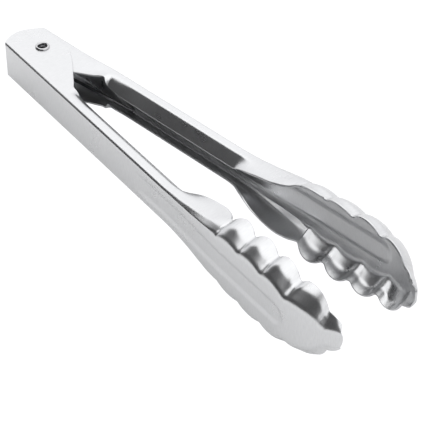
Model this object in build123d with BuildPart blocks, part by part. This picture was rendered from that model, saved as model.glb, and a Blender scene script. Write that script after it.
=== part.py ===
from build123d import *
from math import atan2, cos, degrees, pi, radians, sin, sqrt
import os

# Spring-open utility tongs: two stamped sheet-steel arms, a hollow hinge rivet and a torsion spring.
# Millimetres. The hinge axis is Z, the arms lie either side of +X, and z = 0 is the plane of symmetry.
# Each arm is drawn closed in its own frame: X runs from the hinge to the tip, "depth" is measured
# inwards from the outside of its flat web, and the web's outside lies at y = -hinge_to_web.

# Overall sizes
arm_length = 227.5          # hinge axis to tip
handle_height = 18.6        # over the top and bottom flanges
hinge_to_web = 12.8         # hinge axis to the outside of each web
half_opening = 4.5          # each arm's angle from +X when the tongs rest open (degrees)
sheet = 1.0                 # sheet thickness

# Handle channel
bend_radius = 1.6           # outside radius of the web-to-flange bends
flange_depth = 4.7          # web outside to the lip bends
lip_length = 6.7            # width of the turned-in lips
lip_angle = 48              # lips slope in by this angle from the flange (degrees)
lip_bend_radius = 1.5
lip_start = 46              # where the lips begin, from the hinge axis

# Hinge plates
tail_length = 12.5          # web behind the hinge axis
tail_bulge = 5.4            # the plates' rounded back edge, beyond the web
tail_crest_depth = 9.5      # depth at which the back edge reaches furthest back
tail_lean = 1.0             # the back edge ends this much further forward than it begins
plate_depth = 22.0          # plates reach this deep from the web outside
plate_front = 13.0          # the plates' front corner, from the hinge axis
plate_corner_radius = 5.0
throat_depth = 7.0          # flange depth where the plates have narrowed to the handle
throat_length = 9.0         # last stretch of the plates' edge, up to the lips
throat_fall = 0.6           # the edge still falls by this along that stretch
plate_gap = 0.15            # clearance between the nested plates
joggle_start = 29.0         # the inner arm widens to the full handle height between these two
joggle_end = 43.0

# Scoop
head_length = 106.0         # scoop and its flare, back from the tip
flare_length = 38.0         # handle end to the first notch
flare_swell = 2.1           # halfway along, the flare is this much wider a side than the handle
flare_slope = 0.35          # slope of the flare's edge as it meets the first notch
nose_length = 8.0           # last notch to the tip
notch_half_widths = (15.4, 16.4, 16.2, 14.2, 9.8)
flute_rises = (3.5, 4.0, 5.0, 5.4)      # how far each flute bulges past the line between its notches
notch_radius = 1.4          # rounding of the notches
head_bevel = 3.6            # bevel from the scoop's floor to its walls
belly = 1.5                 # the scoop's floor swells outwards by this
wing_depth = 11.4           # deepest part of the flare's side walls
wing_start = 0.25           # the walls have nearly reached that depth here, as a share of the flare
wing_start_share = 0.75     # share of the wings' depth reached there
wing_top = 0.38             # deepest point, back from the first notch as a share of the flare
wing_end = 0.15             # the walls begin to fall here, measured the same way
wing_fall = 0.6             # shallower by this there
rim_depth = 8.6             # depth of the fluted walls
rim_nose_rise = 1.2         # the walls are deeper by this at the last notch
rim_tip_rise = 0.5          # the walls' rim passes this far beyond the tip's own depth
rim_handle_rise = 0.4       # the flare's rim starts this far beyond the flange depth
tip_run = 29.0              # length over which the floor curls inwards to the tip
tip_depth = 12.0            # depth of the very tip
tip_edge_sheets = 1.3       # height of the edge left at the tip, in sheet thicknesses

# Stiffening rib, pressed inwards
rib_start = 98.0            # from the hinge axis
rib_end_to_tip = 24.0
rib_half_width = 4.6
rib_press = 0.9             # pressed depth

# Hinge rivet
shank_diameter = 4.8
shank_clearance = 0.05      # radial, in the inner arm's holes
rivet_bore = 3.5
rivet_bore_depth = 10.8     # below the upper plate's outside
rivet_mouth = 4.1           # the bore widens to this under the rolled end
rivet_mouth_depth = 2.4
rivet_mouth_rim = 0.4       # straight step below the roll
roll_diameter = 6.8         # rolled end on top
roll_height = 0.9
roll_crest_shift = 0.2      # the roll's crest lies nearer the bore than its middle by this
factory_head_diameter = 8.4
factory_head_height = 1.1

# Torsion spring
wire = 1.4
coil_clearance = 0.4        # between the rivet and the coil
coil_turns = 4              # whole turns, besides the part turn between the legs
coil_pitch = 1.5
spring_reach = 50.0         # the legs bear on the webs this far from the hinge axis
leg_gap = 0.1               # between a leg and the web or coil beside it

# Worked out from the sizes above
web_y = -hinge_to_web
half_height = handle_height / 2
handle_end = arm_length - head_length
first_notch = handle_end + flare_length
notch_pitch = (head_length - flare_length - nose_length) / len(flute_rises)
rib_end = arm_length - rib_end_to_tip
nested_height = handle_height - 2 * (sheet + plate_gap)
lip_depth = flange_depth + lip_length * cos(radians(lip_angle))
lip_half_gap = half_height - lip_length * sin(radians(lip_angle))
tip_curl_start = arm_length - tip_run
tip_floor = tip_depth - tip_edge_sheets * sheet
tip_rise = tip_floor + belly
tip_radius = (tip_run**2 + tip_rise**2) / (2 * tip_rise)
far = 4 * handle_height     # longer than any cut needs
overrun = 1.0               # cutting shapes pass the edge that they cut by this
same_point = 0.01           # two points this near are one


def channel_section(height, inset):
    """Filled outline round the web and its two flanges, drawn past the plates' edges."""
    half = height / 2 - inset
    back = web_y + inset
    with BuildSketch(Plane.YZ) as section:
        with BuildLine():
            Polyline(
                (web_y + plate_depth + overrun, half),
                (back, half),
                (back, -half),
                (web_y + plate_depth + overrun, -half),
                close=True,
            )
        make_face()
        corners = section.vertices().group_by(Axis.X)[0]
        fillet(corners, bend_radius - inset)
    return section.sketch_local


def hinge_block(height, inset, end):
    """Solid envelope of the hinge end: constant height, then a taper out to the handle height."""
    start = -tail_length - tail_bulge - overrun
    near, handle = channel_section(height, inset), channel_section(handle_height, inset)
    with BuildPart() as block:
        with BuildSketch(Plane.YZ.offset(start)):
            add(near)
        extrude(amount=joggle_start - start)
        with BuildSketch(Plane.YZ.offset(joggle_start)):
            add(near)
        with BuildSketch(Plane.YZ.offset(joggle_end)):
            add(handle)
        loft(ruled=True)
        with BuildSketch(Plane.YZ.offset(joggle_end)):
            add(handle)
        extrude(amount=end - joggle_end)
    return block.part


def hinge_plates(height):
    """Web and the two wide hinge plates, trimmed to their outline, with the rivet hole."""
    far_edge = web_y + plate_depth
    with BuildPart() as plates:
        add(hinge_block(height, 0, lip_start))
        add(hinge_block(height, sheet, lip_start), mode=Mode.SUBTRACT)
        with BuildSketch(Plane.XY) as outline:
            with BuildLine():
                back = ThreePointArc(
                    (-tail_length, web_y),
                    (-tail_length - tail_bulge, web_y + tail_crest_depth),
                    (-tail_length + tail_lean, far_edge),
                )
                Polyline(
                    back @ 1,
                    (plate_front, far_edge),
                    (lip_start - throat_length, web_y + throat_depth + throat_fall),
                    (lip_start, web_y + throat_depth),
                    (lip_start, web_y),
                    back @ 0,
                )
            make_face()
            fillet(outline.vertices().group_by(Axis.Y)[-1], plate_corner_radius)
        extrude(amount=far, both=True, mode=Mode.INTERSECT)
    return plates.part


def handle_outline(inset):
    """Six-sided outline of the handle channel: web, flanges and sloping lips."""
    with BuildSketch(Plane.YZ) as outline:
        with BuildLine():
            Polyline(
                (web_y, -half_height),
                (web_y, half_height),
                (web_y + flange_depth, half_height),
                (web_y + lip_depth, lip_half_gap),
                (web_y + lip_depth, -lip_half_gap),
                (web_y + flange_depth, -half_height),
                close=True,
            )
        make_face()
        bends = outline.vertices().group_by(Axis.X)
        fillet(bends[0], bend_radius)
        fillet(outline.vertices().group_by(Axis.Y)[-1].sort_by(Axis.X)[-1], lip_bend_radius)
        fillet(outline.vertices().group_by(Axis.Y)[0].sort_by(Axis.X)[-1], lip_bend_radius)
        if inset:
            offset(amount=-inset, mode=Mode.REPLACE)
    return outline.sketch_local


def handle_channel():
    """Handle: a lipped channel of constant section, from the hinge plates to the scoop."""
    with BuildPart() as channel:
        with BuildSketch(Plane.YZ.offset(lip_start)):
            add(handle_outline(0))
            add(handle_outline(sheet), mode=Mode.SUBTRACT)
            with Locations((web_y + lip_depth, 0)):
                Rectangle(2 * sheet + overrun, 2 * lip_half_gap, mode=Mode.SUBTRACT)
        extrude(amount=handle_end - lip_start)
    return channel.part


def scoop_outline(inset):
    """The scoop seen square on: a flare, four flutes a side and a rounded tip."""
    notches = [first_notch + i * notch_pitch for i in range(len(notch_half_widths))]
    side = [(x, half - inset) for x, half in zip(notches, notch_half_widths)]
    start = (handle_end, half_height - min(inset, bend_radius))
    flare_mid = (handle_end + 0.5 * flare_length, half_height + flare_swell - min(inset, bend_radius))
    tip = (arm_length - inset, 0)
    with BuildSketch(Plane.XZ) as outline:
        with BuildLine():
            for z_sign in (1, -1):
                Spline(
                    (start[0], z_sign * start[1]),
                    (flare_mid[0], z_sign * flare_mid[1]),
                    (side[0][0], z_sign * side[0][1]),
                    tangents=((1, 0), (1, z_sign * flare_slope)),
                )
                for (x0, w0), (x1, w1), rise in zip(side, side[1:], flute_rises):
                    run, drop = x1 - x0, w1 - w0
                    span = sqrt(run**2 + drop**2)
                    top = (
                        (x0 + x1) / 2 - rise * drop / span,
                        (w0 + w1) / 2 + rise * run / span,
                    )
                    ThreePointArc((x0, z_sign * w0), (top[0], z_sign * top[1]), (x1, z_sign * w1))
            end_x, end_w = side[-1]
            ThreePointArc((end_x, end_w), tip, (end_x, -end_w))
            Line((start[0], start[1]), (start[0], -start[1]))
        make_face()
        cusps = [v for v in outline.vertices() if any(abs(v.X - x) < same_point for x in notches)]
        fillet(cusps, notch_radius)
    return outline.sketch_local


def side_band(lift, top):
    """Side view of the space above the floor line raised by lift, up to the points in top."""
    with BuildSketch(Plane.XY) as band:
        with BuildLine():
            floor = Line((joggle_end, web_y + lift), (handle_end, web_y + lift))
            swell = Spline(
                floor @ 1,
                (first_notch, web_y + lift - belly),
                tangents=((1, 0), (1, 0)),
            )
            belly_line = Line(swell @ 1, (tip_curl_start, web_y + lift - belly))
            curl_centre = web_y - belly + tip_radius
            radius = tip_radius - lift
            reach = arm_length + overrun - tip_curl_start
            end_y = curl_centre - sqrt(radius**2 - reach**2)
            curl = TangentArc(belly_line @ 1, (arm_length + overrun, end_y), tangent=(1, 0))
            Polyline(curl @ 1, *top, floor @ 0)
        make_face()
    return band.sketch_local


def scoop_block(inset, top):
    """Filled scoop: bevelled floor edge, fluted walls, and the side view's floor and top."""
    floor_y = web_y - belly + inset
    rounded, full = scoop_outline(inset + head_bevel), scoop_outline(inset)
    with BuildPart() as block:
        with BuildSketch(Plane.XZ.offset(-floor_y)):
            add(rounded)
        with BuildSketch(Plane.XZ.offset(-floor_y - head_bevel)):
            add(full)
        loft(ruled=True)
        with BuildSketch(Plane.XZ.offset(-floor_y - head_bevel)):
            add(full)
        extrude(amount=-far)
        with BuildSketch(Plane.XY):
            add(side_band(inset, top))
        extrude(amount=far, both=True, mode=Mode.INTERSECT)
    return block.part


def scoop():
    """Thin-walled scoop, open on its inner side."""
    last_notch = arm_length - nose_length
    rim = [
        (arm_length + overrun, web_y + tip_depth + rim_tip_rise),
        (last_notch, web_y + rim_depth + rim_nose_rise),
        (last_notch - 2 * notch_pitch, web_y + rim_depth),
        (first_notch, web_y + rim_depth),
        (first_notch - wing_end * flare_length, web_y + wing_depth - wing_fall),
        (first_notch - wing_top * flare_length, web_y + wing_depth),
        (handle_end + wing_start * flare_length, web_y + wing_start_share * wing_depth),
        (handle_end, web_y + flange_depth + rim_handle_rise),
        (joggle_end, web_y + flange_depth + rim_handle_rise),
    ]
    open_top = [(arm_length + overrun, far), (joggle_end, far)]
    with BuildPart() as shell:
        add(scoop_block(0, rim))
        add(scoop_block(sheet, open_top), mode=Mode.SUBTRACT)
    return shell.part


def rib(half_width, low, high):
    """Long round-ended slab that follows the floor, between two heights above it."""
    ceiling = [(arm_length + overrun, far), (joggle_end, far)]
    with BuildPart() as slab:
        with BuildSketch(Plane.XY):
            add(side_band(low, ceiling))
            add(side_band(high, ceiling), mode=Mode.SUBTRACT)
        extrude(amount=half_width, both=True)
        with BuildSketch(Plane.XZ):
            with Locations(((rib_start + rib_end) / 2, 0)):
                SlotOverall(rib_end - rib_start + 2 * half_width - 2 * rib_half_width, 2 * half_width)
        extrude(amount=far, both=True, mode=Mode.INTERSECT)
    return slab.part


def stamped_arm(hinge_height, hole_diameter):
    """One whole arm in its own frame, made as a single stamping."""
    with BuildPart() as arm:
        add(hinge_plates(hinge_height))
        add(handle_channel())
        add(scoop())
        add(rib(rib_half_width + sheet, sheet, sheet + rib_press))
        add(rib(rib_half_width, -overrun, rib_press), mode=Mode.SUBTRACT)
        Cylinder(hole_diameter / 2, far, mode=Mode.SUBTRACT)
    return arm.part


# The outer arm turns clockwise about the hinge, and the inner arm is its mirror image, turned back.
outer_pose = Location((0, 0, 0), (0, 0, -half_opening))
inner_pose = Location((0, 0, 0), (0, 0, half_opening)) * Location((0, 0, 0), (180, 0, 0))

with BuildPart() as outer_arm:
    with Locations(outer_pose):
        add(stamped_arm(handle_height, shank_diameter))

with BuildPart() as inner_arm:
    with Locations(inner_pose):
        add(stamped_arm(nested_height, shank_diameter + 2 * shank_clearance))

# Semi-tubular rivet: factory head below, rolled-over tube end on top.
with BuildPart() as hinge_rivet:
    with BuildSketch(Plane.XZ):
        with BuildLine():
            shank, bore = shank_diameter / 2, rivet_bore / 2
            roll, head = roll_diameter / 2, factory_head_diameter / 2
            crest = (shank + roll) / 2 - roll_crest_shift
            mouth = rivet_mouth / 2
            Line((0, half_height - rivet_bore_depth), (bore, half_height - rivet_bore_depth))
            Line((bore, half_height - rivet_bore_depth), (bore, half_height - rivet_mouth_depth))
            Line((bore, half_height - rivet_mouth_depth), (mouth, half_height - rivet_mouth_rim))
            Spline(
                (mouth, half_height - rivet_mouth_rim),
                (crest, half_height + roll_height),
                (roll, half_height),
                tangents=((0, 1), (0, -1)),
            )
            Line((roll, half_height), (shank, half_height))
            Line((shank, half_height), (shank, -half_height))
            Line((shank, -half_height), (head, -half_height))
            Spline(
                (head, -half_height),
                (0, -half_height - factory_head_height),
                tangents=((0, -1), (-1, 0)),
            )
            Line((0, -half_height - factory_head_height), (0, half_height - rivet_bore_depth))
        make_face()
    revolve(axis=Axis.Z)

# Torsion spring: a right-handed coil round the rivet, whose two legs leave it along the coil's own
# slope and bear on the insides of the webs. The upper leg bears on the outer arm and is one solid
# with the coil; the lower leg turns with the inner arm and starts where the coil ends.
coil_radius = shank_diameter / 2 + coil_clearance + wire / 2
leg_end_y = web_y + sheet + leg_gap + wire / 2
leg_span = sqrt(spring_reach**2 + leg_end_y**2 - coil_radius**2)
leg_angle = half_opening - degrees(
    atan2(leg_end_y, spring_reach) + atan2(coil_radius, leg_span)
)
coil_start = 90 + leg_angle
coil_sweep = 360 * (coil_turns + 1) - 2 * coil_start
coil_half = coil_pitch * coil_sweep / 720
leg_rise = leg_span * coil_pitch / (2 * pi * coil_radius)
leg_foot = [coil_radius * cos(radians(coil_start)), coil_radius * sin(radians(coil_start))]
leg_tip = [
    leg_foot[0] + leg_span * cos(radians(leg_angle)),
    leg_foot[1] + leg_span * sin(radians(leg_angle)),
]
coil_gap_angle = degrees(leg_gap / coil_radius)
coil_base = -coil_half + coil_pitch * coil_gap_angle / 360

with BuildPart() as torsion_spring:
    with BuildLine() as coil_line:
        Helix(coil_pitch, coil_half - coil_base, coil_radius, center=(0, 0, coil_base))
    coil = coil_line.edge().rotate(Axis.Z, coil_start + coil_gap_angle)
    with BuildLine() as path:
        add(coil)
        Line(coil @ 1, (leg_tip[0], -leg_tip[1], coil_half + leg_rise))
    with BuildSketch(Plane(origin=coil @ 0, z_dir=coil % 0)):
        Circle(wire / 2)
    sweep(path=path.wires()[0])

with BuildPart() as spring_free_leg:
    with BuildLine() as path:
        leg = Line((*leg_foot, -coil_half), (*leg_tip, -coil_half - leg_rise))
    with BuildSketch(Plane(origin=leg @ 0, z_dir=leg % 0)):
        Circle(wire / 2)
    sweep(path=path.wires()[0])

os.makedirs("parts", exist_ok=True)
parts = {
    "outer_arm": outer_arm,
    "inner_arm": inner_arm,
    "hinge_rivet": hinge_rivet,
    "torsion_spring": torsion_spring,
    "spring_free_leg": spring_free_leg,
}
for name, piece in parts.items():
    piece.part.label = name
    export_step(piece.part, f"parts/{name}.step")
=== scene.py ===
import math

import bmesh
import bpy
import numpy as np
from mathutils import Matrix, Vector


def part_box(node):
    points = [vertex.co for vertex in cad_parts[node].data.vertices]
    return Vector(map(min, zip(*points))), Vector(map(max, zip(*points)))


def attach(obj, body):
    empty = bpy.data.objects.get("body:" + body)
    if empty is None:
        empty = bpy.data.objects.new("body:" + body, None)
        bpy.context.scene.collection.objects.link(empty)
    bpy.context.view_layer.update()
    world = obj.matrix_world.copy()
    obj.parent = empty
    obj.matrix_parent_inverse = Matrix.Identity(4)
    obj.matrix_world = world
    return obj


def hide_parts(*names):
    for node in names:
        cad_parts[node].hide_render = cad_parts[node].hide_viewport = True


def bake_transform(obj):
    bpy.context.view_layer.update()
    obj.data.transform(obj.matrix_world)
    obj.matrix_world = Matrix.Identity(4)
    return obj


# Spring-open utility tongs of stamped stainless sheet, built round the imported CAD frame.
# Each arm is one sheet: a row of cross-sections along the arm, joined as a grid of quads and then given
# its thickness and rounded edges. The tongs' own sizes are millimetres in an arm's frame: s runs from the
# hinge axis to the tip, depth runs inwards from the outside of the web, and z is up. Half sections run
# from the arm's middle to the sheet's edge as (z, depth). The stage and the camera are in metres.

MM = 0.001
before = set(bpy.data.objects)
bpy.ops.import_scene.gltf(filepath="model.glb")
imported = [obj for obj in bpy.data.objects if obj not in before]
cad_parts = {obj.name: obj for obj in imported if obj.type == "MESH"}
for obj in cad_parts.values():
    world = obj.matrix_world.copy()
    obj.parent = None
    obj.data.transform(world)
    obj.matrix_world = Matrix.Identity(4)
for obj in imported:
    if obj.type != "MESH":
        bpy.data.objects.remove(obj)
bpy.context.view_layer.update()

# ---------------------------------------------------------------- how the arms stand
outer_low, outer_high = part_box("outer_arm")
inner_low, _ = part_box("inner_arm")
rivet_low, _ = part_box("hinge_rivet")
HALF_OPENING = math.radians(4.5)
HINGE_TO_WEB = 12.8         # hinge axis to the outside of each web
TIP_DEPTH = 12.0            # depth of the CAD tip's front edge
TIP_REACH = outer_high.x / MM
ARM_LENGTH = (TIP_REACH + (HINGE_TO_WEB - TIP_DEPTH) * math.sin(HALF_OPENING)) / math.cos(HALF_OPENING)

# ---------------------------------------------------------------- sheet, hinge plates and handle
SHEET = 1.0
EDGE_ROUND = 0.22
HALF_HEIGHT = 9.3
NESTED_HALF_HEIGHT = 8.15
JOGGLE = (29.0, 43.0)       # the inner arm widens between these at its plates' edges
WEB_JOGGLE = (14.0, 42.0)   # and between these, more gently, at its web
BEND_LEG = 0.94             # a 45 degree leg of the web-to-flange bend
BEND_REACH = 0.66           # how far the rounding of the bend's two corners reaches
FOLD_REACH = 0.68           # and that of the lip's fold
TAIL = 12.5
TAIL_BULGE = 5.4            # the plates' rounded back edge: how far, how deep and how full
BULGE_DEPTH = 20.5
BULGE_POWER = 0.75
PLATE_DEPTH = 22.0
PLATE_FRONT = 13.0
THROAT = 36.5               # where the plates' sloping edge is at its lowest
THROAT_DEPTH = 7.9
THROAT_FOLD = 5.3
FOLD_SHARE = 0.95           # the fold stays within this share of the plate's depth
FLANGE = 4.7
LIP = 6.7
LIP_ANGLE = math.radians(48)
LIP_END = (117.0, 139.0)    # the lip unfolds into the flare between these
HOLE_RADIUS = 2.45
DRILL_LENGTH = 60.0

# ---------------------------------------------------------------- scoop
HEAD_LENGTH = 106.0
HEAD_START = ARM_LENGTH - HEAD_LENGTH
FLARE_LENGTH = 38.0
FIRST_NOTCH = HEAD_START + FLARE_LENGTH
NOTCH_PITCH = 15.0
NOTCH_WIDTHS = (15.4, 16.4, 16.2, 14.2, 10.3)
FLUTE_RISES = (3.5, 4.0, 5.0, 5.4)
NOTCH_RIMS = (7.4, 7.3, 7.8, 7.6, 9.8)
FLUTE_LIFTS = (2.3, 1.8, 0.9, 0.5)
NOTCH_ROUND = 1.7
OUTLINE_PITCH = 0.05
BELLY = 1.5
BELLY_END = FIRST_NOTCH + 4
LAST_NOTCH = FIRST_NOTCH + NOTCH_PITCH * (len(NOTCH_WIDTHS) - 1)
NOTCH_SOFTENING = 8         # the flare's corners soften over this length before the first notch
FLARE_SOFTER = (1.2, 1.0, 0.8)

# Corners of the scoop's section: how far inside the line between the notches, and the share of the
# flute's bulge that each takes.
FLOOR_CORNER = (3.9, 0.4)
BEVEL_TOP = (1.0, 0.82)
WALL_BEND = (0.5, 0.92)
BEVEL_RISE = 5.2
BEVEL_SHARE = 0.6
WALL_SHARE = 0.8
SCOOP_REACHES = (1.9, 1.7, 1.5)

# ---------------------------------------------------------------- tip
TIP_RUN = 29.0
TIP_WALL = 1.3 * SHEET
TIP_CURL_START = ARM_LENGTH - TIP_RUN
TIP_FLOOR = TIP_DEPTH - TIP_WALL
TIP_RADIUS = (TIP_RUN**2 + (TIP_FLOOR + BELLY) ** 2) / (2 * (TIP_FLOOR + BELLY))
TIP_CIRCLE = (NOTCH_WIDTHS[-1] ** 2 + (ARM_LENGTH - LAST_NOTCH) ** 2) / (2 * (ARM_LENGTH - LAST_NOTCH))
TIP_CENTRE = ARM_LENGTH - TIP_CIRCLE
TIP_FRONT_ANGLE = math.radians(36)
TIP_BLEND = 0.3             # share of the tip's rows that still follow the last notch
TIP_SHRINK = 0.55
TIP_RIM_RUN = 1.2
TIP_RIM_SHARE = 0.98
LEAST_TIP_WALL = 0.3
TIP_INSETS = ((4.4, 2.2), (1.2, 1.4), (0.6, 0.8))   # each corner's inset at the notch, and what is added

# ---------------------------------------------------------------- stiffening rib
RIB_END = ARM_LENGTH - 24.0
RIB_FADE_IN = (96.0, 107.0)
RIB_HALF = 4.6
RIB_PRESS = 0.6
RIB_SHOULDER = 1.5

# ---------------------------------------------------------------- rows and columns of an arm's grid
FLOOR_COLUMNS = (0, 0.25, 0.45, 0.6, 0.7, 0.78, 0.86, 0.94, 1.02, 1.1, 1.2, 1.32)  # in half ribs
FLOOR_SPAN = 1.45           # half ribs of flat floor that those columns need
PLAN_STEPS = 7
CORNER_STEPS = 5
CORNER_ROOM = 0.48          # a corner's rounding reaches this share of the shorter side at most
WALL_STEPS = 4
LIP_STEPS = 5
TIP_ROWS = 16
ROW_SPANS = (               # from, to and pitch
    (-TAIL, 34, 1.45),
    (34, 46, 0.6),
    (46, 112, 2.6),
    (112, FIRST_NOTCH - 6, 1.1),
    (FIRST_NOTCH - 6, LAST_NOTCH, 0.55),
)
UV_UNIT = 100


def smooth(value, low, high):
    """0 below low, 1 above high and a smooth step between."""
    t = np.clip((np.asarray(value, float) - low) / (high - low), 0, 1)
    return t * t * (3 - 2 * t)


def track(s, *knots):
    """A smooth curve through (s, value) knots, flat beyond both ends."""
    places = np.array([knot[0] for knot in knots], float)
    values = np.array([knot[1] for knot in knots], float)
    slopes = np.diff(values) / np.diff(places)
    tangents = np.zeros(len(places))
    for i in range(1, len(places) - 1):
        before, after = slopes[i - 1], slopes[i]
        tangents[i] = 0 if before * after <= 0 else 2 * before * after / (before + after)
    s = np.clip(s, places[0], places[-1])
    i = np.clip(np.searchsorted(places, s, side="right") - 1, 0, len(places) - 2)
    step = places[i + 1] - places[i]
    t = (s - places[i]) / step
    return (
        (2 * t**3 - 3 * t**2 + 1) * values[i]
        + (t**3 - 2 * t**2 + t) * step * tangents[i]
        + (3 * t**2 - 2 * t**3) * values[i + 1]
        + (t**3 - t**2) * step * tangents[i + 1]
    )


# ---------------------------------------------------------------- outline of the stamping
def floor_depth(s):
    """Outside of the web and of the scoop's floor: flat, then bellied, then curled in to the tip."""
    swell = -BELLY * smooth(s, HEAD_START, BELLY_END)
    past = np.clip(s - TIP_CURL_START, 0, None)
    return swell + TIP_RADIUS - np.sqrt(TIP_RADIUS**2 - past**2)


def rounded_valleys(places, values, radius):
    """The outline with its inward corners filled to a radius, as by a ball rolled along its outside."""
    pitch = places[1] - places[0]
    reach = int(radius / pitch)
    ball = np.sqrt(np.clip(radius**2 - (np.arange(-reach, reach + 1) * pitch) ** 2, 0, None))
    padded = np.pad(values, reach, mode="edge")
    raised = np.max([padded[i:i + len(values)] + ball[i] for i in range(len(ball))], axis=0)
    padded = np.pad(raised, reach, mode="edge")
    return np.min([padded[i:i + len(values)] - ball[i] for i in range(len(ball))], axis=0)


def notch_line(s):
    """Which flute s lies on, and the half width of the straight line between its notches there."""
    k = int(np.clip((s - FIRST_NOTCH) // NOTCH_PITCH, 0, len(FLUTE_RISES) - 1))
    t = np.clip((s - FIRST_NOTCH - k * NOTCH_PITCH) / NOTCH_PITCH, 0, 1)
    return k, NOTCH_WIDTHS[k] + t * (NOTCH_WIDTHS[k + 1] - NOTCH_WIDTHS[k])


def sharp_outline(s):
    """Half width of the scoop's rim before its notches are rounded: flare, four arcs, the tip's circle."""
    if s < FIRST_NOTCH:
        return float(track(
            s,
            (LIP_END[0], HALF_HEIGHT - LIP * math.sin(LIP_ANGLE)),
            (122, 4.6),
            (126, 6.5),
            (131, 8.5),
            (136, 10.2),
            (141, 11.5),
            (146, 12.5),
            (150, 13.4),
            (155, 14.3),
            (FIRST_NOTCH, NOTCH_WIDTHS[0]),
        ))
    if s > LAST_NOTCH:
        return math.sqrt(max(TIP_CIRCLE**2 - (s - TIP_CENTRE) ** 2, 0))
    k, line = notch_line(s)
    half, rise = NOTCH_PITCH / 2, FLUTE_RISES[k]
    radius = (half**2 + rise**2) / (2 * rise)
    chord = s - (FIRST_NOTCH + (k + 0.5) * NOTCH_PITCH)
    return line + math.sqrt(radius**2 - chord**2) - (radius - rise)


OUTLINE_PLACES = np.arange(LIP_END[0], ARM_LENGTH, OUTLINE_PITCH)
OUTLINE = rounded_valleys(OUTLINE_PLACES, np.array([sharp_outline(s) for s in OUTLINE_PLACES]), NOTCH_ROUND)


def rim_half_width(s):
    """Half width of the scoop's rim, its notches rounded."""
    return float(np.interp(s, OUTLINE_PLACES, OUTLINE))


def back_edge(depth):
    """How far the plates' rounded back edge stands behind the web's."""
    return TAIL_BULGE * np.sin(np.pi * np.clip(depth / BULGE_DEPTH, 0, 1)) ** BULGE_POWER


def rib_press(s, z):
    """Inward press of the stiffening rib: a long slot with soft shoulders."""
    front = RIB_END - RIB_HALF
    off = np.hypot(np.clip(s - front, 0, None), z)
    inside = 1 - smooth(off, RIB_HALF - RIB_SHOULDER, RIB_HALF + RIB_SHOULDER)
    return RIB_PRESS * inside * smooth(s, *RIB_FADE_IN)


# ---------------------------------------------------------------- cross-sections
def handle_section(s, inner):
    """Half section of hinge plates and handle: centre, floor edge, bend, fold and sheet edge."""
    half, web_half = HALF_HEIGHT, HALF_HEIGHT
    if inner:
        step = HALF_HEIGHT - NESTED_HALF_HEIGHT
        half = NESTED_HALF_HEIGHT + step * float(smooth(s, *JOGGLE))
        web_half = NESTED_HALF_HEIGHT + step * float(smooth(s, *WEB_JOGGLE))
    plate = track(
        s,
        (-TAIL, PLATE_DEPTH - 4.5),
        (-TAIL + 2.5, PLATE_DEPTH - 1.3),
        (-TAIL + 6, PLATE_DEPTH),
        (PLATE_FRONT - 4.5, PLATE_DEPTH),
        (PLATE_FRONT - 1, PLATE_DEPTH - 1.2),
        (16.9, 18.6),
        (23.9, 14.8),
        (28.2, 12.3),
        (32.9, 9.8),
        (THROAT, THROAT_DEPTH),
    )
    fold = track(
        s,
        (PLATE_FRONT - 1, 12.5),
        (23.9, 9.0),
        (30, 6.6),
        (THROAT, THROAT_FOLD),
        (42, 5.1),
        (51, FLANGE),
    )
    fold = float(min(fold, FOLD_SHARE * plate))
    lip_start = THROAT_DEPTH - THROAT_FOLD
    lip = float(track(s, (THROAT, lip_start), (37.4, 2.6), (40.2, 5.1), (44, 5.9), (50, LIP)))
    angle = float(track(s, (THROAT, 0), (37.4, 0.08), (40.2, LIP_ANGLE), (44, LIP_ANGLE)))
    edge = (half - lip * math.sin(angle), fold + lip * math.cos(angle))
    if s < THROAT:
        edge = (half, float(plate))
    points = [(0, 0), (web_half - BEND_LEG, 0), (web_half, BEND_LEG), (half, fold), edge]
    fold_reach = float(track(s, (30, FOLD_REACH), (38, 2.2), (46, 1.9), (58, FOLD_REACH)))
    return points, (BEND_REACH, BEND_REACH, fold_reach)


def flare_section(s):
    """Half section of the flare, where the lip unfolds into the scoop's side wall."""
    floor = float(floor_depth(s))
    start = LIP_END[0]
    notch = NOTCH_WIDTHS[0]
    wide = (
        track(s, (start, HALF_HEIGHT - BEND_LEG), (138, 9.5), (148, 10.8), (FIRST_NOTCH, notch - 3.5)),
        track(s, (start, HALF_HEIGHT), (128, 9.8), (138, 11.0), (148, 12.5), (FIRST_NOTCH, notch - 1.0)),
        track(s, (start, HALF_HEIGHT), (128, 10.0), (138, 11.3), (148, 12.9), (FIRST_NOTCH, notch - 0.3)),
        rim_half_width(s),
    )
    rim = track(
        s,
        (start, FLANGE + LIP * math.cos(LIP_ANGLE)),
        (122, 9.3),
        (126, 9.8),
        (131, 10.8),
        (136, 11.5),
        (146, 12.0),
        (150, 11.6),
        (155, 10.2),
        (FIRST_NOTCH, NOTCH_RIMS[0]),
    )
    deep = (
        floor,
        track(s, (start, BEND_LEG), (138, 1.4), (148, 1.8), (FIRST_NOTCH, 2.2)),
        track(s, (start, FLANGE), (128, 5.0), (140, 6.2), (150, 6.4), (FIRST_NOTCH, 5.0)),
        rim,
    )
    points = [(0, floor)] + [(float(z), float(depth)) for z, depth in zip(wide, deep)]
    open_up = float(smooth(s, *LIP_END))
    at_notch = float(smooth(s, FIRST_NOTCH - NOTCH_SOFTENING, FIRST_NOTCH))
    reaches = (
        BEND_REACH + FLARE_SOFTER[0] * at_notch,
        BEND_REACH + FLARE_SOFTER[1] * at_notch,
        FOLD_REACH + FLARE_SOFTER[2] * open_up,
    )
    return points, reaches


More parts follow.
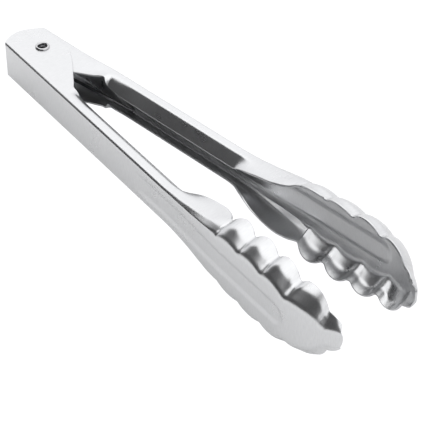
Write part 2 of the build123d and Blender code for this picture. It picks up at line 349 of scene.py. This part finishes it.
def scoop_section(s):
    """Half section of the fluted scoop: floor, bevel and wall."""
    floor = float(floor_depth(s))
    k, line = notch_line(s)
    end = rim_half_width(s)
    bulge = end - line
    crown = min(bulge / FLUTE_RISES[k], 1)
    t = (s - FIRST_NOTCH) / NOTCH_PITCH - k
    rim = NOTCH_RIMS[k] + t * (NOTCH_RIMS[k + 1] - NOTCH_RIMS[k]) + FLUTE_LIFTS[k] * crown
    height = rim - floor
    corners = [line - inset + share * bulge for inset, share in (FLOOR_CORNER, BEVEL_TOP, WALL_BEND)]
    points = [
        (0, floor),
        (corners[0], floor),
        (corners[1], floor + min(BEVEL_RISE, BEVEL_SHARE * height)),
        (corners[2], floor + WALL_SHARE * height),
        (end, rim),
    ]
    return points, SCOOP_REACHES


def tip_arc(z):
    """How far the tip's circle reaches beyond its centre at height z."""
    return np.sqrt(np.clip(TIP_CIRCLE**2 - np.asarray(z, float) ** 2, 0, None))


def tip_section(t):
    """Half section of the rounded tip; t runs from the last notch (0) to the front edge (1)."""
    start = math.acos((LAST_NOTCH - TIP_CENTRE) / TIP_CIRCLE)
    angle = start + t * (TIP_FRONT_ANGLE - start)
    end_z = TIP_CIRCLE * math.sin(angle)
    end_s = TIP_CENTRE + TIP_CIRCLE * math.cos(angle)
    end_z = max(end_z, rim_half_width(end_s)) if t < TIP_BLEND else end_z
    middle = end_s + t * t * (TIP_CIRCLE - float(tip_arc(end_z)))
    floor = float(floor_depth(middle))
    start_crown = (rim_half_width(LAST_NOTCH) - NOTCH_WIDTHS[-1]) / FLUTE_RISES[-1]
    start_rim = NOTCH_RIMS[-1] + FLUTE_LIFTS[-1] * start_crown
    rim = start_rim + (TIP_DEPTH - start_rim) * float(smooth(t, 0, TIP_RIM_RUN)) * TIP_RIM_SHARE
    height = max(rim - floor, LEAST_TIP_WALL)
    shrink = 1 - TIP_SHRINK * t
    wider = float(smooth(t, 0, TIP_BLEND))
    corners = [end_z - (inset + added * wider) * shrink for inset, added in TIP_INSETS]
    points = [
        (0, floor),
        (corners[0], floor),
        (corners[1], floor + BEVEL_SHARE * height),
        (corners[2], floor + WALL_SHARE * height),
        (end_z, floor + height),
    ]
    return points, tuple(reach * shrink for reach in SCOOP_REACHES), end_s, end_z


def half_profile(points, reaches):
    """Points along half a section, from its centre to the sheet's edge, the corners rounded."""
    points = [np.array(point, float) for point in points]
    rounds = []
    for i in (1, 2, 3):
        back, ahead = points[i - 1] - points[i], points[i + 1] - points[i]
        room = CORNER_ROOM * min(np.linalg.norm(back), np.linalg.norm(ahead))
        reach = min(reaches[i - 1], room)
        rounds.append((
            points[i] + back / np.linalg.norm(back) * reach,
            points[i],
            points[i] + ahead / np.linalg.norm(ahead) * reach,
        ))
    first = rounds[0][0]
    shrink = min(1.0, first[0] / (FLOOR_SPAN * RIB_HALF))
    profile = [np.array([column * RIB_HALF * shrink, points[0][1]]) for column in FLOOR_COLUMNS]
    last = profile[-1]
    profile += [last + (first - last) * (i / PLAN_STEPS) for i in range(1, PLAN_STEPS)]
    targets = [rounds[1][0], rounds[2][0], points[4]]
    steps = (WALL_STEPS, WALL_STEPS, LIP_STEPS)
    for (begin, corner, end), target, count in zip(rounds, targets, steps):
        for i in range(CORNER_STEPS + 1):
            t = i / CORNER_STEPS
            profile.append((1 - t) ** 2 * begin + 2 * t * (1 - t) * corner + t * t * end)
        stop = count + 1 if target is points[4] else count
        profile += [end + (target - end) * (i / count) for i in range(1, stop)]
    return np.array(profile)


# ---------------------------------------------------------------- an arm's grid and its sheet
def stations():
    """Places along the arm of its sections, closer together where the shape turns quickly."""
    places = []
    for low, high, pitch in ROW_SPANS:
        count = round((high - low) / pitch)
        places += [low + (high - low) * i / count for i in range(count)]
    return places


def body_row(s, inner):
    """One row of the grid's upper half, from the tail to the last notch."""
    if s < LIP_END[0]:
        points, reaches = handle_section(s, inner)
    elif s < FIRST_NOTCH:
        points, reaches = flare_section(s)
    else:
        points, reaches = scoop_section(s)
    half = half_profile(points, reaches)
    place = np.full(len(half), s)
    fade = np.clip(-s / TAIL, 0, 1)
    place -= fade * back_edge(half[:, 1])
    return np.column_stack([place, half[:, 1], half[:, 0]])


def tip_row(t):
    """One row of the grid's upper half, bent round the tip's circle."""
    points, reaches, end_s, end_z = tip_section(t)
    half = half_profile(points, reaches)
    z = np.clip(half[:, 0], 0, end_z)
    place = end_s + t * t * (tip_arc(z) - tip_arc(end_z))
    floor, rim = points[0][1], points[-1][1]
    share = np.clip((rim - half[:, 1]) / (rim - floor), 0, 1)
    depth = half[:, 1] + share * (floor_depth(place) - floor)
    return np.column_stack([place, depth, half[:, 0]])


def arm_grid(inner):
    """Outside surface of one arm as (rows, columns, 3) in s, depth, z."""
    rows = [body_row(s, inner) for s in stations()]
    rows += [tip_row(i / TIP_ROWS) for i in range(TIP_ROWS + 1)]
    grid = np.array(rows)
    floor = grid[:, :len(FLOOR_COLUMNS) + PLAN_STEPS - 1]
    floor[:, :, 1] += rib_press(floor[:, :, 0], floor[:, :, 2])
    mirrored = grid[:, :0:-1].copy()
    mirrored[:, :, 2] *= -1
    return np.concatenate([mirrored, grid], axis=1)


def grid_normals(grid):
    """Unit normals of a grid of points, pointing outwards (away from the other arm)."""
    along = np.gradient(grid, axis=0)
    across = np.gradient(grid, axis=1)
    normal = np.cross(along, across)
    return normal / np.linalg.norm(normal, axis=2, keepdims=True)


def boundary(rows, columns):
    """Grid indices round the edge of the sheet, in order."""
    loop = [(0, j) for j in range(columns)]
    loop += [(i, columns - 1) for i in range(1, rows)]
    loop += [(rows - 1, j) for j in range(columns - 2, -1, -1)]
    loop += [(i, 0) for i in range(rows - 2, 0, -1)]
    return loop


def sheared_edge(grid, inside, loop):
    """For each point of the edge, where its two rounds end and the direction out of the sheet."""
    rows, columns, _ = grid.shape
    rings = []
    for i, j in loop:
        inner_i = min(max(i, 1), rows - 2)
        inner_j = min(max(j, 1), columns - 2)
        out = grid[i, j] - grid[inner_i, inner_j]
        out /= np.linalg.norm(out)
        through = inside[i, j] - grid[i, j]
        through /= np.linalg.norm(through)
        rings.append((grid[i, j] + EDGE_ROUND * through, inside[i, j] - EDGE_ROUND * through, out))
    return rings


def sheet_faces(rows, columns, loop):
    """Quads of the sheet's two sides and of the three strips round its edge."""
    count = rows * columns
    faces = []
    for i in range(rows - 1):
        for j in range(columns - 1):
            a, b = i * columns + j, i * columns + j + 1
            c, d = a + columns + 1, a + columns
            faces.append((a, d, c, b))
            faces.append((count + a, count + b, count + c, count + d))
    total = len(loop)
    for n in range(total):
        m = (n + 1) % total
        (i, j), (k, l) = loop[n], loop[m]
        a, b = i * columns + j, k * columns + l
        u, v = 2 * count + n, 2 * count + m
        p, q = u + total, v + total
        faces += [(a, b, v, u), (u, v, q, p), (p, q, count + b, count + a)]
    return faces


def lay_uvs(mesh, grid, loop):
    """UVs in tenths of a metre: u along the arm, v across the developed sheet."""
    rows, columns, _ = grid.shape
    widths = np.linalg.norm(np.diff(grid, axis=1), axis=2)
    run = np.concatenate([np.zeros((rows, 1)), np.cumsum(widths, axis=1)], axis=1)
    run -= run[:, columns // 2: columns // 2 + 1]
    flat = np.stack([grid[:, :, 0], run], axis=2).reshape(-1, 2) / UV_UNIT
    edge = np.array([[grid[i, j, 0], run[i, j]] for i, j in loop]) / UV_UNIT
    uv_points = np.concatenate([flat, flat, edge, edge])
    layer = mesh.uv_layers.new(name="UVMap")
    corners = np.zeros(len(mesh.loops), int)
    mesh.loops.foreach_get("vertex_index", corners)
    layer.data.foreach_set("uv", uv_points[corners].astype(np.float32).ravel())


def linked(name, mesh):
    """A new object of a mesh, in the scene."""
    obj = bpy.data.objects.new(name, mesh)
    bpy.context.scene.collection.objects.link(obj)
    return obj


def sheet_object(name, grid, to_world, flip):
    """A closed sheet-metal piece of SHEET thickness with softly rounded sheared edges."""
    rows, columns, _ = grid.shape
    outside = grid.copy()
    inside = grid - SHEET * grid_normals(grid)
    loop = boundary(rows, columns)
    rings = sheared_edge(grid, inside, loop)
    for (i, j), (_, _, out) in zip(loop, rings):
        outside[i, j] = grid[i, j] - EDGE_ROUND * out
        inside[i, j] = inside[i, j] - EDGE_ROUND * out
    points = np.concatenate([
        outside.reshape(-1, 3),
        inside.reshape(-1, 3),
        np.array([ring[0] for ring in rings]),
        np.array([ring[1] for ring in rings]),
    ])
    faces = sheet_faces(rows, columns, loop)
    if flip:
        faces = [face[::-1] for face in faces]
    mesh = bpy.data.meshes.new(name)
    mesh.from_pydata([to_world(point) for point in points], [], faces)
    lay_uvs(mesh, grid, loop)
    mesh.validate()
    mesh.update()
    return linked(name, mesh)


def drill(obj, radius):
    """Cuts the rivet hole through both plates of an arm."""
    bm = bmesh.new()
    bmesh.ops.create_cone(
        bm, cap_ends=True, segments=64, radius1=radius * MM, radius2=radius * MM, depth=DRILL_LENGTH * MM
    )
    mesh = bpy.data.meshes.new("drill")
    bm.to_mesh(mesh)
    bm.free()
    cutter = linked("drill", mesh)
    cut = obj.modifiers.new("hole", "BOOLEAN")
    cut.operation = "DIFFERENCE"
    cut.solver = "EXACT"
    cut.object = cutter
    bpy.context.view_layer.update()
    result = bpy.data.meshes.new_from_object(obj.evaluated_get(bpy.context.evaluated_depsgraph_get()))
    obj.modifiers.remove(cut)
    obj.data = result
    bpy.data.objects.remove(cutter)


def finish_shading(obj, angle=40):
    """Smooth shading, except over edges sharper than the angle in degrees."""
    for polygon in obj.data.polygons:
        polygon.use_smooth = True
    obj.data.set_sharp_from_angle(angle=math.radians(angle))


def arm(name, inner):
    """One stamped arm, turned out by half the opening; the inner arm is mirrored and its plates nest."""
    side = -1 if inner else 1
    cosine, sine = math.cos(HALF_OPENING), math.sin(HALF_OPENING)

    def to_world(point):
        x = point[0] * cosine + (point[1] - HINGE_TO_WEB) * sine
        y = -point[0] * sine + (point[1] - HINGE_TO_WEB) * cosine
        return Vector((x * MM, side * y * MM, point[2] * MM))

    obj = sheet_object(name, arm_grid(inner), to_world, flip=inner)
    drill(obj, HOLE_RADIUS)
    finish_shading(obj)
    return obj


# ---------------------------------------------------------------- rivet
SHANK = 2.4
HEAD = 4.2
HEAD_HEIGHT = 1.1
HEAD_CHAMFER = 0.1
HEAD_SINK = 0.04            # the head's underside lies this far inside the plate
DOME_STEPS = 12
DOME_POWER = 0.9
RIVET_BORE = 1.75
BORE_DEPTH = 10.8
BORE_FOOT = (0.5, 0.6, 0.3)     # the bore's blind end: how much narrower, its cone's run, and its point
MOUTH = ((0.12, 0.7), (0, 1.5))     # the bore under its rolled end: how much wider, and how deep
ROLL = 3.4
ROLL_HEIGHT = 0.9
ROLL_UNDERCUT = 0.25
ROLL_WALL = 0.35
ROLL_LIFT = 0.06
ROLL_SINK = 0.08
ROLL_STEPS = 14
ROLL_TURN = 1.12            # in half turns
ROLL_DROP = 0.5
ON_AXIS = 1e-6
SHARP_ROUNDS = 50           # shading angle in degrees of the rivet and the wire


def lathe(name, outline, segments=96):
    """A closed solid of revolution about Z from (radius, height) points that start and end on the axis."""
    bm = bmesh.new()
    rings = []
    for r, z in outline:
        if r < ON_AXIS:
            rings.append([bm.verts.new((0, 0, z * MM))])
        else:
            rings.append([
                bm.verts.new((r * MM * math.cos(a), r * MM * math.sin(a), z * MM))
                for a in (2 * math.pi * i / segments for i in range(segments))
            ])
    for low, high in zip(rings, rings[1:]):
        for i in range(segments):
            j = (i + 1) % segments
            quad = [low[i % len(low)], low[j % len(low)], high[j % len(high)], high[i % len(high)]]
            bm.faces.new(list(dict.fromkeys(quad)))
    bmesh.ops.recalc_face_normals(bm, faces=bm.faces)
    mesh = bpy.data.meshes.new(name)
    bm.to_mesh(mesh)
    bm.free()
    return linked(name, mesh)


def rivet():
    """Semi-tubular rivet: domed factory head below, and the tube end rolled over on top."""
    top, bottom = HALF_HEIGHT, -HALF_HEIGHT
    outline = [(0, bottom - HEAD_HEIGHT)]
    for i in range(1, DOME_STEPS + 1):
        a = i / DOME_STEPS * math.pi / 2
        outline.append((HEAD * math.sin(a) ** DOME_POWER, bottom - HEAD_HEIGHT * math.cos(a) ** DOME_POWER))
    outline += [(HEAD - HEAD_CHAMFER, bottom + HEAD_SINK), (SHANK, bottom + HEAD_SINK), (SHANK, top)]
    outline += [(ROLL - ROLL_UNDERCUT, top)]
    crest = (RIVET_BORE + ROLL_WALL + ROLL) / 2
    reach = ROLL - crest
    for i in range(ROLL_STEPS + 1):
        a = i / ROLL_STEPS * math.pi * ROLL_TURN
        rise = (ROLL_HEIGHT - ROLL_SINK) * math.sin(a) if a < math.pi else -ROLL_DROP * (a - math.pi)
        outline.append((crest + reach * math.cos(a), top + ROLL_LIFT + rise))
    outline += [(RIVET_BORE + wider, top - deep) for wider, deep in MOUTH]
    narrower, cone, point = BORE_FOOT
    outline += [(RIVET_BORE, top - BORE_DEPTH + cone), (RIVET_BORE - narrower, top - BORE_DEPTH)]
    outline += [(0, top - BORE_DEPTH - point)]
    return lathe("rivet", outline)


# ---------------------------------------------------------------- spring
WIRE = 1.4
WIRE_CHAMFER = (0.12, 0.55)     # length of the chamfer at each cut end, and the share of the radius left
COIL_CLEARANCE = 0.4
COIL_TURNS = 4
COIL_PITCH = 1.5
SPRING_REACH = 50.0
LEG_GAP = 0.1
LEG_STEPS = 40
TURN_STEPS = 32


def spring_line():
    """Centreline of the spring: lower leg to the inner arm, coil, and upper leg to the outer arm."""
    radius = SHANK + COIL_CLEARANCE + WIRE / 2
    end_y = -HINGE_TO_WEB + SHEET + LEG_GAP + WIRE / 2
    span = math.sqrt(SPRING_REACH**2 + end_y**2 - radius**2)
    leg_angle = HALF_OPENING - math.atan2(end_y, SPRING_REACH) - math.atan2(radius, span)
    start = math.pi / 2 + leg_angle
    sweep = 2 * math.pi * (COIL_TURNS + 1) - 2 * start
    half = COIL_PITCH * sweep / (4 * math.pi)
    rise = span * COIL_PITCH / (2 * math.pi * radius)
    foot = np.array([radius * math.cos(start), radius * math.sin(start), -half])
    tip = foot + np.array([span * math.cos(leg_angle), span * math.sin(leg_angle), -rise])
    points = [tip + (foot - tip) * i / LEG_STEPS for i in range(LEG_STEPS)]
    coil_steps = TURN_STEPS * (COIL_TURNS + 1)
    for i in range(coil_steps + 1):
        t = i / coil_steps
        a = start + sweep * t
        points.append(np.array([radius * math.cos(a), radius * math.sin(a), -half + 2 * half * t]))
    end = points[-1].copy()
    far = np.array([tip[0], -tip[1], -tip[2]])
    points += [end + (far - end) * i / LEG_STEPS for i in range(1, LEG_STEPS + 1)]
    return points


def tube(name, points, radius, sides=16):
    """Round wire along points, with chamfered cut ends."""
    points = [np.asarray(point, float) for point in points]
    tangents = np.gradient(np.array(points), axis=0)
    tangents /= np.linalg.norm(tangents, axis=1, keepdims=True)
    side = np.cross(tangents[0], (0, 0, 1))
    side /= np.linalg.norm(side)
    chamfer, share_left = WIRE_CHAMFER
    rings = [(points[0], tangents[0], share_left)]
    rings += [(points[0] + tangents[0] * chamfer, tangents[0], 1.0)]
    rings += [(point, tangent, 1.0) for point, tangent in zip(points[1:-1], tangents[1:-1])]
    rings += [(points[-1] - tangents[-1] * chamfer, tangents[-1], 1.0)]
    rings += [(points[-1], tangents[-1], share_left)]
    verts, faces = [], []
    for point, tangent, share in rings:
        side = side - tangent * np.dot(side, tangent)
        side /= np.linalg.norm(side)
        up = np.cross(tangent, side)
        for i in range(sides):
            a = 2 * math.pi * i / sides
            verts.append((point + radius * share * (side * math.cos(a) + up * math.sin(a))) * MM)
    for i in range(len(rings) - 1):
        for j in range(sides):
            k = (j + 1) % sides
            faces.append((i * sides + j, i * sides + k, (i + 1) * sides + k, (i + 1) * sides + j))
    faces.append(tuple(range(sides - 1, -1, -1)))
    last = (len(rings) - 1) * sides
    faces.append(tuple(range(last, last + sides)))
    mesh = bpy.data.meshes.new(name)
    mesh.from_pydata([Vector(vert) for vert in verts], [], faces)
    mesh.update()
    obj = linked(name, mesh)
    finish_shading(obj, SHARP_ROUNDS)
    return obj


# ---------------------------------------------------------------- materials
ARM_COLOUR = (0.62, 0.625, 0.635)
RIVET_COLOUR = (0.5, 0.5, 0.51)
WIRE_COLOUR = (0.3, 0.3, 0.31)
TINT_STOPS = (0.3, 0.72)    # where the grain's noise is darkest and lightest
TINT_SHARES = (0.93, 1.05)  # and the shares of the steel's colour there


def node(tree, kind, place, **inputs):
    """A new shader node at a place, with its inputs set."""
    made = tree.nodes.new(kind)
    made.location = place
    for name, value in inputs.items():
        made.inputs[name].default_value = value
    return made


def steel(name, colour, roughness, grain_scale, grain_depth, spread=0.07, coordinates="UV"):
    """Satin stainless: fine cross grain and slow cloudiness in the gloss; the grain's depth is in mm."""
    material = bpy.data.materials.new(name)
    material.use_nodes = True
    tree = material.node_tree
    shader = tree.nodes["Principled BSDF"]
    shader.inputs["Metallic"].default_value = 1.0
    shader.inputs["IOR"].default_value = 2.4
    coords = node(tree, "ShaderNodeTexCoord", (-1400, 0))
    stretch = node(tree, "ShaderNodeMapping", (-1200, 0), Scale=grain_scale)
    tree.links.new(coords.outputs[coordinates], stretch.inputs["Vector"])
    grain = node(tree, "ShaderNodeTexNoise", (-1000, 0), Scale=1.0, Detail=4.0, Roughness=0.6)
    tree.links.new(stretch.outputs["Vector"], grain.inputs["Vector"])
    cloud = node(tree, "ShaderNodeTexNoise", (-1000, -300), Scale=55.0, Detail=3.0, Roughness=0.5)
    tree.links.new(coords.outputs["Object"], cloud.inputs["Vector"])
    tint = node(tree, "ShaderNodeValToRGB", (-600, 250))
    for element, stop, share in zip(tint.color_ramp.elements, TINT_STOPS, TINT_SHARES):
        element.position = stop
        element.color = (*[min(1, c * share) for c in colour], 1)
    tree.links.new(grain.outputs["Fac"], tint.inputs["Fac"])
    tree.links.new(tint.outputs["Color"], shader.inputs["Base Color"])
    rough = node(tree, "ShaderNodeMapRange", (-600, -50))
    rough.inputs["To Min"].default_value = roughness - spread
    rough.inputs["To Max"].default_value = roughness + spread
    tree.links.new(cloud.outputs["Fac"], rough.inputs["Value"])
    tree.links.new(rough.outputs["Result"], shader.inputs["Roughness"])
    bump = node(tree, "ShaderNodeBump", (-300, -300), Strength=0.35, Distance=grain_depth * MM)
    tree.links.new(grain.outputs["Fac"], bump.inputs["Height"])
    tree.links.new(bump.outputs["Normal"], shader.inputs["Normal"])
    return material


def matte(name, colour, roughness):
    """A plain surface with no shine."""
    material = bpy.data.materials.new(name)
    material.use_nodes = True
    shader = material.node_tree.nodes["Principled BSDF"]
    shader.inputs["Base Color"].default_value = colour
    shader.inputs["Roughness"].default_value = roughness
    shader.inputs["Specular IOR Level"].default_value = 0.0
    return material


# The rivet has no UV map, so its grain is one even tone.
arm_steel = steel("arm_steel", ARM_COLOUR, 0.29, (330, 26, 1), 0.004)
rivet_steel = steel("rivet_steel", RIVET_COLOUR, 0.2, (300, 300, 300), 0.004, spread=0.04)
wire_steel = steel("wire_steel", WIRE_COLOUR, 0.3, (900, 900, 900), 0.006, coordinates="Object")

# ---------------------------------------------------------------- pieces
outer = arm("outer_arm_sheet", inner=False)
outer.data.materials.append(arm_steel)
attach(outer, "outer_half")
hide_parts("outer_arm")

inner = arm("inner_arm_sheet", inner=True)
inner.data.materials.append(arm_steel)
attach(inner, "inner_half")
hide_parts("inner_arm")

pin = rivet()
finish_shading(pin, SHARP_ROUNDS)
pin.data.materials.append(rivet_steel)
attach(pin, "outer_half")
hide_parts("hinge_rivet")

spring = tube("torsion_spring_wire", spring_line(), WIRE / 2)
spring.data.materials.append(wire_steel)
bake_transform(spring)
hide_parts("torsion_spring", "spring_free_leg")

# ---------------------------------------------------------------- stage, light and camera, in metres
FLOOR_HALF = 3.0
FLOOR_GAP = 0.0002
FLOOR_WHITE = (0.72, 0.72, 0.72, 1)
CLOTH_BLACK = (0.008, 0.008, 0.009, 1)
CLOTH_CENTRE_X = 0.12
CLOTH_RADIUS = 0.5
CLOTH_LOW, CLOTH_HIGH = -0.03, 0.56
CLOTH_STEPS = 18
CLOTH_START, CLOTH_END = math.radians(196), math.radians(334)
SKY_LOW = (0.68, 0.68, 0.69, 1)
SKY_HIGH = (1, 1, 1, 1)
SKY_HIGH_AT = 0.85
SKY_STRENGTH = 1.62
CAMERA_AIM = Vector((0.1368, -0.0092, 0.0))
CAMERA_DISTANCE = 0.7213
CAMERA_AZIMUTH = math.radians(50.355)
CAMERA_ELEVATION = math.radians(39.105)
CAMERA_ROLL = math.radians(-0.293)
CAMERA_LENS = 145.13861     # in millimetres, as is the sensor's width
SENSOR_WIDTH = 36


def floor_plane():
    """Plain pale floor that the scoops and the rivet's lower head rest on; the camera doesn't see it."""
    low_head = rivet_low.z
    low_flute = min(outer_low.z, inner_low.z)
    flute_x = (FIRST_NOTCH + 2 * NOTCH_PITCH) * MM
    slope = (low_flute - low_head) / flute_x
    corners = ((-FLOOR_HALF, -FLOOR_HALF), (FLOOR_HALF, -FLOOR_HALF),
               (FLOOR_HALF, FLOOR_HALF), (-FLOOR_HALF, FLOOR_HALF))
    mesh = bpy.data.meshes.new("floor")
    mesh.from_pydata([(x, y, low_head + slope * x - FLOOR_GAP) for x, y in corners], [], [(0, 1, 2, 3)])
    floor = linked("floor", mesh)
    mesh.materials.append(matte("floor_white", FLOOR_WHITE, 0.9))
    floor.visible_camera = False


def dark_surround():
    """The darker side of the studio, a curved cloth which only polished surfaces see."""
    points = []
    for i in range(CLOTH_STEPS + 1):
        angle = CLOTH_START + (CLOTH_END - CLOTH_START) * i / CLOTH_STEPS
        x, y = CLOTH_CENTRE_X + CLOTH_RADIUS * math.cos(angle), CLOTH_RADIUS * math.sin(angle)
        points += [(x, y, CLOTH_LOW), (x, y, CLOTH_HIGH)]
    faces = [(2 * i, 2 * i + 2, 2 * i + 3, 2 * i + 1) for i in range(CLOTH_STEPS)]
    mesh = bpy.data.meshes.new("dark_surround")
    mesh.from_pydata(points, [], faces)
    card = linked("dark_surround", mesh)
    mesh.materials.append(matte("dark_cloth", CLOTH_BLACK, 1.0))
    card.visible_camera = False
    card.visible_diffuse = False
    card.visible_shadow = False
    card.visible_transmission = False


def world_light():
    """A soft sky, a little darker towards the horizon."""
    world = bpy.data.worlds.new("studio")
    world.use_nodes = True
    bpy.context.scene.world = world
    tree = world.node_tree
    coords = node(tree, "ShaderNodeTexCoord", (-900, 0))
    split = node(tree, "ShaderNodeSeparateXYZ", (-700, 0))
    tree.links.new(coords.outputs["Generated"], split.inputs["Vector"])
    sky = node(tree, "ShaderNodeValToRGB", (-500, 0))
    low, high = sky.color_ramp.elements
    low.position = 0.0
    low.color = SKY_LOW
    high.position = SKY_HIGH_AT
    high.color = SKY_HIGH
    tree.links.new(split.outputs["Z"], sky.inputs["Fac"])
    background = tree.nodes["Background"]
    tree.links.new(sky.outputs["Color"], background.inputs["Color"])
    background.inputs["Strength"].default_value = SKY_STRENGTH


def camera():
    """Looks down on the tongs from beyond their tips, at the product picture's angle."""
    back = Vector((
        math.sin(CAMERA_AZIMUTH) * math.cos(CAMERA_ELEVATION),
        -math.cos(CAMERA_AZIMUTH) * math.cos(CAMERA_ELEVATION),
        math.sin(CAMERA_ELEVATION),
    ))
    data = bpy.data.cameras.new("camera")
    data.sensor_width = SENSOR_WIDTH
    data.lens = CAMERA_LENS
    data.clip_start = 0.01
    obj = linked("camera", data)
    right = Vector((math.cos(CAMERA_AZIMUTH), math.sin(CAMERA_AZIMUTH), 0))
    up = back.cross(right)
    turned_right = right * math.cos(CAMERA_ROLL) - up * math.sin(CAMERA_ROLL)
    turned_up = right * math.sin(CAMERA_ROLL) + up * math.cos(CAMERA_ROLL)
    place = CAMERA_AIM + back * CAMERA_DISTANCE
    obj.matrix_world = Matrix((
        (turned_right.x, turned_up.x, back.x, place.x),
        (turned_right.y, turned_up.y, back.y, place.y),
        (turned_right.z, turned_up.z, back.z, place.z),
        (0, 0, 0, 1),
    ))
    bpy.context.scene.camera = obj


floor_plane()
dark_surround()
world_light()
camera()
bpy.context.scene.view_settings.view_transform = "Standard"
